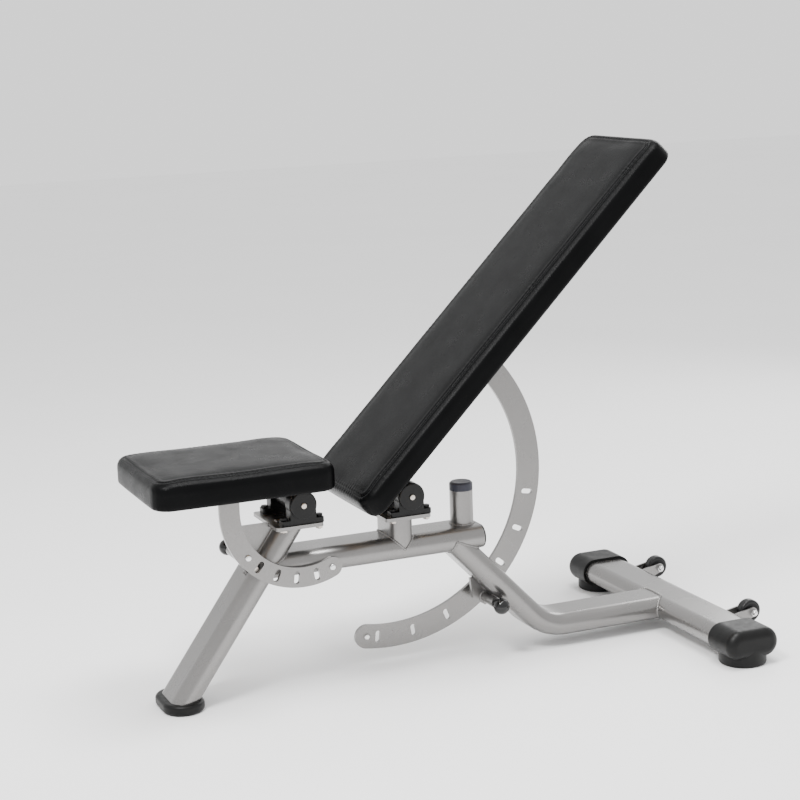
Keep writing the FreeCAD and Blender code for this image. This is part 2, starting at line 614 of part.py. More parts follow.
SEAT_SLOTS, BACK_SLOTS = 4, 7
seat_first = -PIN_ANGLE["seat"]
seat_last = seat_first + (SEAT_SLOTS - 1) * S["seat_slot_step"]
seat_end = seat_last + S["seat_end_angle"]
seat_rail_top = S["seat_rail_low"] + S["seat_rail_tall"]
wide = 3 * S["seat_arc_radius"]
seat_arc = slotted_arc("seat", -1, seat_last, SEAT_SLOTS, seat_end, lambda x, z: [
    (0, 0), (x, z), (wide, wide), (-wide, wide), (-wide, 0)])
add(seat_arc, "XZ", [("rect", -S["seat_arc_radius"], seat_rail_top / 2, S["seat_arc_width"], seat_rail_top)],
    -arc_far, -arc_near)
stop_bolts("seat_stop_bolts", "seat", seat_arc, -1, [seat_first - S["seat_stop_angle"], seat_end])

# The drawn slope puts the pin in the middle slot of the back's arc.
back_middle = -PIN_ANGLE["back"] - S["back_angle"]
back_reach = (BACK_SLOTS - 1) / 2 * S["back_slot_step"]
back_end = back_middle - back_reach - S["back_end_angle"]
back_rail_top = S["back_rail_low"] + S["back_rail_tall"]
long = 3 * S["back_arc_radius"]
back_arc = slotted_arc("back", 1, back_middle + back_reach, BACK_SLOTS, back_end, lambda x, z: [
    (0, 0), (x, z), (-long, long), (long, long), (long, back_rail_top), (0, back_rail_top)])
stop_bolts("back_stop_bolt", "back", back_arc, 1, [back_end])

# ---------------------------------------------------------------- pull pins, drawn just out of their slots
bore = S["sleeve_radius"] - S["sleeve_wall"]
guide = S["pin_radius"] + S["running_gap"]
pin_tip = arc_near - S["pin_rest_gap"]
for group, side in (("seat", -1), ("back", 1)):
    pin_x, pin_z = PIN[group]
    on_pin = ("circle", pin_x, pin_z)
    knob = -S[group + "_knob_reach"]
    mouth = knob + S["knob_radius"] + S["pin_travel"]
    neck_room = mouth + S["pin_travel"] + S["coil_gap"]
    spring_seat = neck_room + S["sleeve_lip"]
    sleeve_end = pin_tip - S["sleeve_setback"]
    guide_start = sleeve_end - S["sleeve_guide"]
    collar_end = guide_start - S["pin_travel"] - S["collar_room"]
    collar_start = collar_end - S["collar_thick"]

    sleeve = new_body(group + "_pin_sleeve")
    for start, stop, inner in ((mouth, neck_room, bore), (neck_room, spring_seat, guide),
                               (spring_seat, guide_start, bore), (guide_start, sleeve_end, guide)):
        add(sleeve, "XZ", [on_pin + (S["sleeve_radius"],), on_pin + (inner,)], *span(side, start, stop))

    shank_start = knob + S["knob_radius"] - S["pin_hold"]
    pin = new_body(group + "_pin")
    add(pin, "XZ", [on_pin + (S["pin_radius"],)], *span(side, shank_start, pin_tip))
    add(pin, "XZ", [on_pin + (bore - S["collar_gap"],)], *span(side, collar_start, collar_end))

    spring = new_body(group + "_pin_spring")
    wire = sketch_on(spring, "XY", [("circle", S["pin_radius"] + 2 * S["wire_radius"], 0, S["wire_radius"])],
                     (0, 0, 0))
    coil = spring.newObject("PartDesign::AdditiveHelix", group + "_coil")
    coil.Profile = wire
    coil.ReferenceAxis = (wire, ["V_Axis"])
    coil.Mode = "height-turns-angle"
    coil.setExpression("Turns", S["coil_turns"].text)
    room = S["wire_radius"] + S["coil_gap"] / 2
    start, stop = span(side, spring_seat + room, collar_start - room)
    coil.setExpression("Height", (stop - start).text)
    spring.Placement.Base = FreeCAD.Vector(pin_x.value, start.value, pin_z.value)
    for axis, number in (("x", pin_x), ("y", start), ("z", pin_z)):
        spring.setExpression("Placement.Base." + axis, number.text)

    ball = new_body(group + "_pin_knob")
    add(ball, "XZ", [on_pin + (bore - S["collar_gap"],)],
        *span(side, mouth - S["neck_long"], mouth + S["coil_gap"] / 2))
    sphere = ball.newObject("PartDesign::AdditiveSphere", group + "_ball")
    sphere.AttachmentSupport = [([part for part in ball.Origin.OriginFeatures
                                  if part.Role == "XZ_Plane"][0], "")]
    sphere.MapMode = "FlatFace"
    for axis, number in (("x", pin_x), ("y", pin_z), ("z", -side * knob)):
        sphere.setExpression("AttachmentOffset.Base." + axis, number.text)
    sphere.setExpression("Radius", S["knob_radius"].text)
    doc.recompute()
    remove(ball, "XZ", [on_pin + (S["pin_radius"],)], *span(side, shank_start, mouth + S["coil_gap"] / 2))

# Flat gussets between each sleeve and its leg.
gussets = new_body("pin_gussets")
rim = S["gusset_rim"]
pin_x, pin_z = PIN["seat"]
high, low = seat_plate_low + S["plate_thick"], pin_z - S["seat_gusset_drop"]
seat_gusset = [(leg_x(high), high), (pin_x - rim, high), (pin_x - rim, pin_z),
               (pin_x - rim / 2, pin_z - rim), (leg_x(low), low)]
pin_x, pin_z = PIN["back"]
high, low = pin_z + S["back_gusset_rise"], pin_z - S["back_gusset_drop"]
back_gusset = [(rear_x(high), high), (pin_x - S["back_gusset_lean"], high),
               (pin_x - 1.5 * rim, pin_z), (pin_x, pin_z - rim), (rear_x(low), low)]
for group, side, outline in (("seat", -1, seat_gusset), ("back", 1, back_gusset)):
    across = span(side, S["gusset_near"], S["gusset_near"] + S["gusset_thick"])
    add(gussets, "XZ", [("polygon", outline)], *across)
    remove(gussets, "XZ", [("circle",) + PIN[group] + (S["sleeve_radius"],)], *across)
plate_left = S["seat_axis_x"] - S["plate_shift"] - S["plate_length"] / 2 - S["gusset_lap"]
plate_under = seat_plate_low - S["gusset_lap"]
remove(gussets, "XZ", [("rect", plate_left + THROUGH / 2, plate_under + THROUGH / 2, THROUGH, THROUGH)],
       *span(-1, S["gusset_near"], S["gusset_near"] + S["gusset_thick"]))
cut_front_leg(gussets)
slanted(gussets, tube_section(False), rear_x(S["beam_height"] + half_wide), S["beam_height"] + half_wide,
        -S["rear_leg_angle"], THROUGH, True)

# ---------------------------------------------------------------- seat and back frames, boards, cushions
half_pad = S["pad_width"] / 2
seat_low_end, seat_high_end = S["seat_front"] - S["seat_axis_x"], S["seat_rear"] - S["seat_axis_x"]
# group: cushion's ends, rail's ends, mounting plates as (middle, length, half width)
FRAMES = {
    "seat": ((seat_low_end, seat_high_end),
             (seat_low_end + S["seat_rail_front"], seat_high_end - S["seat_rail_rear"]),
             [(S["seat_strip_x"], S["seat_strip_long"], half_pad - S["seat_strip_inset"]),
              (-S["seat_arc_radius"], S["seat_arc_width"], arc_far + S["arc_strip_rim"]),
              (seat_low_end + S["front_strip_back"], S["front_strip_long"], half_pad - S["strip_inset"])]),
    "back": ((S["back_low"], S["back_top"]),
             (S["back_rail_start"], S["back_top"] - S["back_rail_end"]),
             [(S["back_strip_x"], S["back_strip_long"], half_pad - S["back_strip_inset"]),
              (S["back_arc_radius"], S["back_strip_long"], half_pad - S["strip_inset"]),
              (S["back_top"] - S["top_strip_drop"], S["back_strip_long"], half_pad - S["strip_inset"])]),
}
for group, ((pad_low, pad_high), (rail_start, rail_end), plates) in FRAMES.items():
    rail_low, rail_tall = S[group + "_rail_low"], S[group + "_rail_tall"]
    rail_top, rail_mid = rail_low + rail_tall, rail_low + rail_tall / 2
    under = rail_top + S[group + "_sheet"]

    tube_hub = new_body(group + "_hub", group)
    hub_end = S["block_inner"] - S["hub_gap"]
    hub_circle = ("circle", 0, 0, S["hub_radius"])
    add(tube_hub, "XZ", [hub_circle, ("circle", 0, 0, S["shaft_radius"])], -hub_end, hub_end)

    rail = new_body(group + "_rail", group)
    add(rail, "YZ", [("rect", 0, rail_mid, S["rail_wide"], rail_tall),
                     ("rect", 0, rail_mid, S["rail_wide"] - 2 * S["rail_wall"],
                      rail_tall - 2 * S["rail_wall"])], rail_start, rail_end)
    rounded(rail, S["rail_round"], lambda edge: runs_along(X)(edge) and (
        lies_at("Y", rail_half)(edge) or lies_at("Y", -rail_half)(edge)))
    remove(rail, "XZ", [hub_circle], -rail_half, rail_half)
    plugs = new_body(group + "_rail_plugs", group)
    plug_starts = [rail_end] if group == "back" else [rail_start - S["plug_thick"], rail_end]
    for start in plug_starts:
        add(plugs, "YZ", [("rect", 0, rail_mid, S["rail_wide"] - 2 * S["plug_gap"],
                           rail_tall - 2 * S["plug_gap"])], start, start + S["plug_thick"])

    strips = new_body(group + "_mounting_plates", group)
    add(strips, "XY", [("rect", x, 0, length, 2 * half) for x, length, half in plates], rail_top, under)
    rounded(strips, S["strip_corner"], runs_along(Z))
    holes = [("circle", x, end * (half - S["strip_bolt_inset"]), S["bolt_radius"])
             for x, length, half in (plates[0], plates[-1]) for end in (-1, 1)]
    remove(strips, "XY", holes, rail_top, under)
    screws = new_body(group + "_board_bolts", group)
    add(screws, "XY", holes, rail_top, under + S["bolt_bite"])
    add(screws, "XY", [("hexagon", x, y, S["hex_flats"]) for _, x, y, _ in holes],
        rail_top - S["hex_high"], rail_top)

    middle, length = (pad_low + pad_high) / 2, pad_high - pad_low
    board_rect = ("rect", middle, 0, length - 2 * S["board_inset"], S["pad_width"] - 2 * S["board_inset"])
    board_top = under + S["board_thick"]
    board = new_body(group + "_board", group)
    add(board, "XY", [board_rect], under, board_top)
    rounded(board, S["pad_corner"] - S["board_inset"], runs_along(Z))
    remove(board, "XY", holes, under, under + S["bolt_bite"])

    cushion = new_body(group + "_pad", group)
    pad_top = under + S[group + "_thick"]
    add(cushion, "XY", [("rect", middle, 0, length, S["pad_width"])], under + S["pad_gap"], pad_top)
    rounded(cushion, S["pad_corner"], runs_along(Z))
    rounded(cushion, S["pad_edge"], lies_at("Z", pad_top))
    remove(cushion, "XY", [board_rect], under, board_top)

# The arm that carries the back's arc, and the rubber stop that meets the post.
arm_mid = S["back_rail_low"] + S["back_rail_tall"] / 2
arm = new_body("back_arc_bracket", "back")
add(arm, "XZ", [("rect", S["back_arc_radius"], arm_mid, S["arm_long"], S["arm_tall"]),
                ("rect", S["back_arc_radius"], arm_mid, S["arm_long"] - 2 * S["arm_wall"],
                 S["arm_tall"] - 2 * S["arm_wall"])], rail_half, arc_near)
bumper = new_body("back_bumper", "back")
add(bumper, "XY", [("circle", S["post_x"] - S["back_axis_x"], 0, S["bumper_radius"])],
    S["back_rail_low"] - S["bumper_high"], S["back_rail_low"])

# ---------------------------------------------------------------- check and write
doc.recompute()
bodies = [part for part in doc.Objects if part.TypeId == "PartDesign::Body"]
for part in doc.Objects:
    if "Invalid" in part.State or "Error" in part.State:
        raise RuntimeError("%s: %s" % (part.Label, part.State))
for body in bodies:
    if body.Shape.isNull() or not body.Shape.isValid():
        raise RuntimeError("bad shape: " + body.Label)
    body.Shape.exportStep("parts/%s.step" % body.Label)
print("bodies:", len(bodies))
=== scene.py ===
import json
import math
import random

import bmesh
import bpy
import numpy as np
from mathutils import Euler, Matrix, Vector, noise as smooth_noise
from mathutils.bvhtree import BVHTree

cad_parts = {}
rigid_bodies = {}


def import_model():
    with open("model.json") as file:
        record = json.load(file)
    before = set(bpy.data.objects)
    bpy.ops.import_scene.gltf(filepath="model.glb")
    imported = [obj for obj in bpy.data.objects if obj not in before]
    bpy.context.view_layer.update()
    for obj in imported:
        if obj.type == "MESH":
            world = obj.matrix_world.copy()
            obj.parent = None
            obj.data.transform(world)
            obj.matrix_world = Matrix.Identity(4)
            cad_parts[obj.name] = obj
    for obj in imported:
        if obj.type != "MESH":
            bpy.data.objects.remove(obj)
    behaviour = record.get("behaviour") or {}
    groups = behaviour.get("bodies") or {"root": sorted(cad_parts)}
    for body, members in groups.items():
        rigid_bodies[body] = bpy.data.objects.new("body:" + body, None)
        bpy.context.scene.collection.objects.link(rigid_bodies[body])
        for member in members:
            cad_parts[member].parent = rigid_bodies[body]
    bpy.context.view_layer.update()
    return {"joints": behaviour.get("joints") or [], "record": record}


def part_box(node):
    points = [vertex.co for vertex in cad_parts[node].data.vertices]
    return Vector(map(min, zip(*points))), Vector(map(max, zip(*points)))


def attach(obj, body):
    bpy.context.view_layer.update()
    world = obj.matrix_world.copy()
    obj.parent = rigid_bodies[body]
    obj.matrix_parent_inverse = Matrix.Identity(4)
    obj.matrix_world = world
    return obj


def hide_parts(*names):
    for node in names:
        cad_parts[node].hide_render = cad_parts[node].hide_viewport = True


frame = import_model()
scene = bpy.context.scene
MM = 0.001
X_AXIS, Y_AXIS, Z_AXIS = Vector((1, 0, 0)), Vector((0, 1, 0)), Vector((0, 0, 1))

# Slopes that the frame was designed with, in degrees.
BACK_SLOPE = 45.1
FRONT_LEG_SLOPE = 54.3
REAR_LEG_SLOPE = 46.5
REAR_LEG_X = 9.5 * MM  # where the rear leg's slope meets the main beam's axis


# ---------------------------------------------------------------- materials
def new_material(name):
    """A node material, its node tree and its shader."""
    material = bpy.data.materials.new(name)
    material.use_nodes = True
    return material, material.node_tree, material.node_tree.nodes["Principled BSDF"]


def coords(tree, scale=(1, 1, 1)):
    """Coordinates fixed to the object, in metres, stretched by scale."""
    where = tree.nodes.new("ShaderNodeTexCoord")
    mapping = tree.nodes.new("ShaderNodeMapping")
    mapping.inputs["Scale"].default_value = scale
    tree.links.new(where.outputs["Object"], mapping.inputs["Vector"])
    return mapping.outputs["Vector"]


def noise(tree, vector, scale, detail=4, rough=0.5):
    """Soft random variation from 0 to 1, about scale patches to the metre."""
    node = tree.nodes.new("ShaderNodeTexNoise")
    node.inputs["Scale"].default_value = scale
    node.inputs["Detail"].default_value = detail
    node.inputs["Roughness"].default_value = rough
    tree.links.new(vector, node.inputs["Vector"])
    return node.outputs["Fac"]


def cells(tree, vector, scale):
    """Distance to the edges of small irregular cells, as in leather grain."""
    node = tree.nodes.new("ShaderNodeTexVoronoi")
    node.feature = "DISTANCE_TO_EDGE"
    node.inputs["Scale"].default_value = scale
    tree.links.new(vector, node.inputs["Vector"])
    return node.outputs["Distance"]


def ramp(tree, factor, stops):
    """Colour or number that changes with factor, given as (place, value) stops."""
    node = tree.nodes.new("ShaderNodeValToRGB")
    while len(node.color_ramp.elements) < len(stops):
        node.color_ramp.elements.new(0.5)
    for element, (where, value) in zip(node.color_ramp.elements, stops):
        element.position = where
        element.color = (*value, 1) if isinstance(value, tuple) else (value, value, value, 1)
    tree.links.new(factor, node.inputs["Fac"])
    return node.outputs["Color"]


def bump(tree, bsdf, height, strength, distance, before=None):
    """Small relief on the surface, over the relief that came before it."""
    node = tree.nodes.new("ShaderNodeBump")
    node.inputs["Strength"].default_value = strength
    node.inputs["Distance"].default_value = distance
    tree.links.new(height, node.inputs["Height"])
    if before is not None:
        tree.links.new(before, node.inputs["Normal"])
    tree.links.new(node.outputs["Normal"], bsdf.inputs["Normal"])
    return node.outputs["Normal"]


def paint(name, dark, light, metallic, rough, gloss=0.5, coat=0.3):
    """Powder coat with metal flake: tiny colour flecks, orange peel and uneven gloss."""
    material, tree, bsdf = new_material(name)
    bsdf.inputs["Specular IOR Level"].default_value = gloss
    at = coords(tree)
    flake = noise(tree, at, 1800, 2)
    tree.links.new(ramp(tree, flake, [(0.35, dark), (0.65, light)]), bsdf.inputs["Base Color"])
    tree.links.new(ramp(tree, noise(tree, at, 9, 5), [(0.3, rough - 0.05), (0.7, rough + 0.06)]),
                   bsdf.inputs["Roughness"])
    bsdf.inputs["Metallic"].default_value = metallic
    bsdf.inputs["Coat Weight"].default_value = coat
    bsdf.inputs["Coat Roughness"].default_value = 0.15
    peel = bump(tree, bsdf, noise(tree, at, 420, 2), 0.08, 0.0004)
    bump(tree, bsdf, flake, 0.05, 0.0002, peel)
    return material


def moulded(name, dark, light, rough, grain, depth, gloss=0.2):
    """Moulded rubber or plastic with a fine surface texture."""
    material, tree, bsdf = new_material(name)
    bsdf.inputs["Specular IOR Level"].default_value = gloss
    at = coords(tree)
    tree.links.new(ramp(tree, noise(tree, at, 25, 6), [(0.3, dark), (0.75, light)]),
                   bsdf.inputs["Base Color"])
    tree.links.new(ramp(tree, noise(tree, at, 60, 4), [(0.3, rough - 0.06), (0.7, rough + 0.08)]),
                   bsdf.inputs["Roughness"])
    bump(tree, bsdf, noise(tree, at, grain, 3), depth, 0.0004)
    return material


def steel(name, tone, rough):
    """Plated or plain metal with slight stains and a fine brushed grain."""
    material, tree, bsdf = new_material(name)
    at = coords(tree)
    stained = tuple(0.82 * channel for channel in tone)
    tree.links.new(ramp(tree, noise(tree, at, 90, 5), [(0.3, stained), (0.7, tone)]),
                   bsdf.inputs["Base Color"])
    tree.links.new(ramp(tree, noise(tree, at, 300, 3), [(0.3, rough - 0.05), (0.7, rough + 0.08)]),
                   bsdf.inputs["Roughness"])
    bsdf.inputs["Metallic"].default_value = 1.0
    bump(tree, bsdf, noise(tree, at, 600, 3), 0.05, 0.0002)
    return material


def wood(name, dark, light):
    """Plywood: long grain streaks along the bench."""
    material, tree, bsdf = new_material(name)
    streaks = noise(tree, coords(tree, (6, 90, 90)), 4, 8, 0.6)
    tree.links.new(ramp(tree, streaks, [(0.3, dark), (0.7, light)]), bsdf.inputs["Base Color"])
    tree.links.new(ramp(tree, streaks, [(0.3, 0.6), (0.7, 0.75)]), bsdf.inputs["Roughness"])
    bump(tree, bsdf, streaks, 0.25, 0.0005)
    return material


def vinyl(name, dark, light, rough):
    """Upholstery vinyl: pebbled leather grain, rubbed patches that shine more, faint colour drift."""
    material, tree, bsdf = new_material(name)
    at = coords(tree)
    tree.links.new(ramp(tree, noise(tree, at, 14, 6, 0.6), [(0.3, dark), (0.72, light)]),
                   bsdf.inputs["Base Color"])
    rubbed = noise(tree, at, 22, 8, 0.65)
    tree.links.new(ramp(tree, rubbed, [(0.32, rough - 0.04), (0.5, rough), (0.7, rough + 0.06)]),
                   bsdf.inputs["Roughness"])
    bsdf.inputs["Specular IOR Level"].default_value = 0.06
    pebbles = ramp(tree, cells(tree, at, 620), [(0.0, 0.0), (0.16, 0.75), (0.5, 1.0)])
    grain = bump(tree, bsdf, pebbles, 0.25, 0.0003)
    fine = bump(tree, bsdf, noise(tree, at, 1500, 3), 0.06, 0.0002, grain)
    bump(tree, bsdf, noise(tree, at, 34, 4), 0.10, 0.0010, fine)
    return material


def grey(tone):
    return (tone, tone, tone)


MATERIALS = {
    "frame_paint": paint("silver_paint", dark=(0.17, 0.165, 0.161), light=(0.26, 0.253, 0.247),
                         metallic=0.85, rough=0.28),
    "support_black": paint("black_paint", dark=grey(0.004), light=grey(0.008),
                           metallic=0.1, rough=0.42, gloss=0.2, coat=0.05),
    "rubber_black": moulded("foot_rubber", dark=grey(0.002), light=grey(0.005),
                            rough=0.40, grain=900, depth=0.18),
    "wheel_black": moulded("wheel_rubber", dark=(0.003, 0.003, 0.0035), light=(0.006, 0.006, 0.0065),
                           rough=0.3, grain=700, depth=0.1, gloss=0.3),
    "plastic_black": moulded("black_plastic", dark=(0.003, 0.003, 0.0035), light=(0.006, 0.006, 0.0065),
                             rough=0.42, grain=900, depth=0.12),
    "plastic_grey": moulded("grey_plastic", dark=(0.028, 0.029, 0.040), light=(0.042, 0.043, 0.057),
                            rough=0.4, grain=900, depth=0.1),
    "bearing_black": moulded("bearing_plastic", dark=grey(0.002), light=grey(0.005),
                             rough=0.34, grain=800, depth=0.15, gloss=0.25),
    "knob_black": moulded("knob_plastic", dark=grey(0.002), light=grey(0.003),
                          rough=0.10, grain=500, depth=0.02, gloss=0.45),
    "zinc_steel": steel("zinc_plated", tone=(0.62, 0.57, 0.52), rough=0.30),
    "bright_nut": steel("bright_plated", tone=grey(0.82), rough=0.14),
    "spring_steel": steel("spring_wire", tone=(0.45, 0.45, 0.46), rough=0.3),
    "bronze": steel("bush_bronze", tone=(0.55, 0.36, 0.17), rough=0.35),
    "plywood": wood("board_wood", dark=(0.36, 0.24, 0.13), light=(0.54, 0.38, 0.23)),
    "vinyl_black": vinyl("black_vinyl", dark=(0.0010, 0.0011, 0.0012), light=(0.0020, 0.0021, 0.0023),
                         rough=0.30),
}
THREAD = moulded("black_thread", dark=(0.004, 0.004, 0.0045), light=(0.009, 0.009, 0.010),
                 rough=0.55, grain=2500, depth=0.5)
for part in frame["record"]["subparts"]:
    node = bpy.data.objects[part["node"]]
    node.data.materials.clear()
    node.data.materials.append(MATERIALS[part["material_slot"]])


# ---------------------------------------------------------------- making pieces
def new_piece(name, mesh, material, body):
    """Link a mesh as a piece that rides on a body and wears the given material."""
    piece = bpy.data.objects.new(name, mesh)
    scene.collection.objects.link(piece)
    mesh.materials.append(material)
    mesh.polygons.foreach_set("use_smooth", [True] * len(mesh.polygons))
    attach(piece, body)
    return piece


def applied(piece):
    """The piece's mesh with its modifiers worked in."""
    graph = bpy.context.evaluated_depsgraph_get()
    graph.update()
    return bpy.data.meshes.new_from_object(piece.evaluated_get(graph))


ODD_AXIS = Vector((0.31, 0.17, 0.93))  # in line with none of the swept paths


def tube_rings(shape, path, radii, sides=8, closed=False):
    """Sweep a round section along path with a radius at each point, and cap open ends."""
    rings = []
    count = len(path)
    for i, here in enumerate(path):
        before = path[i - 1] if i or closed else here
        after = path[(i + 1) % count] if i + 1 < count or closed else here
        along = (after - before).normalized()
        side = along.cross(ODD_AXIS).normalized()
        over = side.cross(along)
        rings.append([shape.verts.new(here + radii[i] * (math.cos(turn) * side + math.sin(turn) * over))
                      for turn in (2 * math.pi * k / sides for k in range(sides))])
    for i in range(count if closed else count - 1):
        one, two = rings[i], rings[(i + 1) % count]
        for k in range(sides):
            shape.faces.new((one[k], one[(k + 1) % sides], two[(k + 1) % sides], two[k]))
    if not closed:
        shape.faces.new(rings[0][::-1])
        shape.faces.new(rings[-1])


# ---------------------------------------------------------------- cushions
CORNER = 34 * MM        # plan radius of the cushions' corners
LOW_ROUND, TOP_ROUND = 2.5 * MM, 15 * MM
WAIST = 1.5 * MM        # how far the sides are pulled in between the corners
SIDE_ROOM, TOP_ROOM = 1.5 * MM, 4 * MM  # the empty cover is this much smaller than the plain pad
SIDE_PROUD, END_PROUD, TOP_PROUD = 6.5 * MM, 2 * MM, 5 * MM  # the filled one bulges past it
VOXEL = 5 * MM
HELD = 7 * MM           # height of the strip that is fixed round the board
PRESSURE, STEPS = 4, 20  # the filling's push on the cover, and how many steps it is given
SWELL = 6 * MM          # the furthest that the filling pushes the cover out
TAUT = 14               # rounds of averaging that even out the swelling
SEAM_INSET = 13 * MM    # from the plain pad's side to the seam on the cushion's top panel
SEAM_DROP = 14 * MM     # the top panel starts this far below the plain pad's top
SEAM_DEEP, SEAM_WIDE = 1.5 * MM, 2.2 * MM
FINE_REACH = 16 * MM    # the mesh is refined this far inwards from the seam
RIDGE_HIGH, RIDGE_AWAY, RIDGE_WIDE = 0.8 * MM, 6 * MM, 4 * MM  # low swelling on each side of the seam
PUCKER_HIGH, PUCKER_PITCH, PUCKER_REACH = 0.9 * MM, 11 * MM, 8 * MM
PUCKER_START = 3 * MM   # the puckers rise from nothing over this distance from the seam
PATCH = 55              # patches of puckering to the metre
UNEVEN = 0.5 * MM       # slow wander of the whole surface
FADE_LOW, FADE_OVER = 30 * MM, 20 * MM  # the relief grows in over this height, from below the top panel
FAINT, FAINT_FROM = 0.6 * MM, 12 * MM   # relief deeper than this stays off the sides, below this depth
STITCH_LONG, STITCH_GAP, THREAD_RADIUS = 4.2 * MM, 1.6 * MM, 0.42 * MM
STITCH_ROWS = (-2.6 * MM, 2.6 * MM)     # the two rows, either side of the seam
STITCH_ARCH = ((0, 1.0), (0.25, 0.15), (0.5, -0.1), (0.75, 0.15), (1, 1.0))  # (share of its length, sink)


def pivot_of(joint_name):
    """Where the axis of a joint lies."""
    joint = [joint for joint in frame["joints"] if joint["name"] == joint_name][0]
    return Vector(joint["pos_m"])


def slab_frame(node, pivot, slope):
    """Matrix from the pad's own axes (x along it, z through it) to the world, and its box there."""
    to_world = Matrix.Translation(pivot) @ Matrix.Rotation(-math.radians(slope), 4, "Y")
    back = to_world.inverted()
    points = [back @ v.co for v in bpy.data.objects[node].data.vertices]
    low = Vector([min(p[i] for p in points) for i in range(3)])
    high = Vector([max(p[i] for p in points) for i in range(3)])
    return to_world, low, high


def edge_place(x, y, half_x, half_y):
    """How far inside the rounded outline a point is, and how far round the outline it lies."""
    core_x, core_y = half_x - CORNER, half_y - CORNER
    over_x, over_y = abs(x) - core_x, abs(y) - core_y
    turn = math.copysign(1, x * y) or 1
    if over_x > 0 and over_y > 0:
        inside = CORNER - math.hypot(over_x, over_y)
        around = core_x + core_y + CORNER * math.atan2(over_x, over_y)
        return inside, turn * around
    if half_x - abs(x) < half_y - abs(y):
        return half_x - abs(x), turn * (core_x + CORNER * math.pi / 2 + 2 * core_y - abs(y))
    return half_y - abs(y), turn * (core_y + abs(x))


def rounded_outline(half_x, half_y, corner, steps):
    """Plan points of a rectangle with round corners, going round once."""
    points = []
    for quarter, (sx, sy) in enumerate(((1, 1), (-1, 1), (-1, -1), (1, -1))):
        for i in range(steps + 1):
            turn = math.pi / 2 * (quarter + i / steps)
            points.append((sx * (half_x - corner) + corner * math.cos(turn),
                           sy * (half_y - corner) + corner * math.sin(turn)))
    return points


def slab_mesh(name, half_x, half_y, low_z, high_z):
    """Closed slab with rounded edges, its sides pulled in a little between the corners."""
    height = high_z - low_z
    levels = [(low_z + LOW_ROUND * (1 - math.cos(t)), LOW_ROUND * (1 - math.sin(t)))
              for t in (math.pi / 2 * i / 3 for i in range(4))]
    levels += [(low_z + height * share, 0) for share in (0.3, 0.45, 0.6)]
    levels += [(high_z - TOP_ROUND * (1 - math.sin(t)), TOP_ROUND * (1 - math.cos(t)))
               for t in (math.pi / 2 * i / 6 for i in range(7))]
    shape = bmesh.new()
    rings = []
    for z, inset in levels:
        ring = []
        for x, y in rounded_outline(half_x - inset, half_y - inset, CORNER - inset, 8):
            waist_y = WAIST * (1 - (x / half_x) ** 2)
            waist_x = WAIST * (1 - (y / half_y) ** 2)
            ring.append(shape.verts.new((x - math.copysign(waist_x, x) * abs(x) / half_x,
                                         y - math.copysign(waist_y, y) * abs(y) / half_y, z)))
        rings.append(ring)
    for one, two in zip(rings, rings[1:]):
        for i in range(len(one)):
            j = (i + 1) % len(one)
            shape.faces.new((one[i], one[j], two[j], two[i]))
    shape.faces.new(rings[0][::-1])
    shape.faces.new(rings[-1])
    mesh = bpy.data.meshes.new(name)
    shape.to_mesh(mesh)
    shape.free()
    return mesh


def evened(mesh, values):
    """Average each vertex's value with its neighbours', over and over, so that the cover lies taut."""
    ends = np.empty(2 * len(mesh.edges), dtype=np.int32)
    mesh.edges.foreach_get("vertices", ends)
    one, two = np.concatenate((ends[::2], ends[1::2])), np.concatenate((ends[1::2], ends[::2]))
    counts = 1 + np.bincount(one, minlength=len(values))
    values = np.array(values)
    for _ in range(TAUT):
        values = (values + np.bincount(one, weights=values[two], minlength=len(values))) / counts
    return values.tolist()


def fit_box(mesh, low, high):
    """Stretch the filled cover, before its seam is made, so that it fills the space from low to high."""
    places = np.empty(3 * len(mesh.vertices), dtype=np.float32)
    mesh.vertices.foreach_get("co", places)
    places = places.reshape(-1, 3)
    share = (places - places.min(axis=0)) / (places.max(axis=0) - places.min(axis=0))
    places = np.array(low) + share * (np.array(high) - np.array(low))
    mesh.vertices.foreach_set("co", places.astype(np.float32).ravel())
    mesh.update()


def swell(piece, floor_z):
    """Fill the cover by cloth simulation and keep the evened outward part of the movement.

    The simulated corners are drawn in and wrinkled, where a taut cover's are not, so the rest is left out.
    """
    rest = [v.co.copy() for v in piece.data.vertices]
    held = piece.vertex_groups.new(name="held")
    held.add([i for i, co in enumerate(rest) if co.z < floor_z + HELD], 1.0, "REPLACE")
    cloth = piece.modifiers.new("filling", "CLOTH")
    cloth.settings.vertex_group_mass = "held"
    cloth.settings.use_pressure = True
    cloth.settings.uniform_pressure_force = PRESSURE
    cloth.settings.quality = 4
    cloth.settings.mass = 0.35
    cloth.settings.tension_stiffness = 22
    cloth.settings.compression_stiffness = 22
    cloth.settings.shear_stiffness = 10
    cloth.settings.bending_stiffness = 3
    cloth.settings.effector_weights.gravity = 0
    for step in range(1, STEPS + 1):
        scene.frame_set(step)
    swollen = applied(piece)
    normals = [v.normal.copy() for v in piece.data.vertices]
    outward = []
    for start, after, normal in zip(rest, swollen.vertices, normals):
        pushed = max(0.0, (after.co - start).dot(normal))
        outward.append(SWELL * math.tanh(pushed / SWELL))
    pushes = evened(piece.data, outward)
    for vertex, start, normal, push in zip(piece.data.vertices, rest, normals, pushes):
        vertex.co = start + normal * push
    piece.modifiers.remove(cloth)
    scene.frame_set(1)


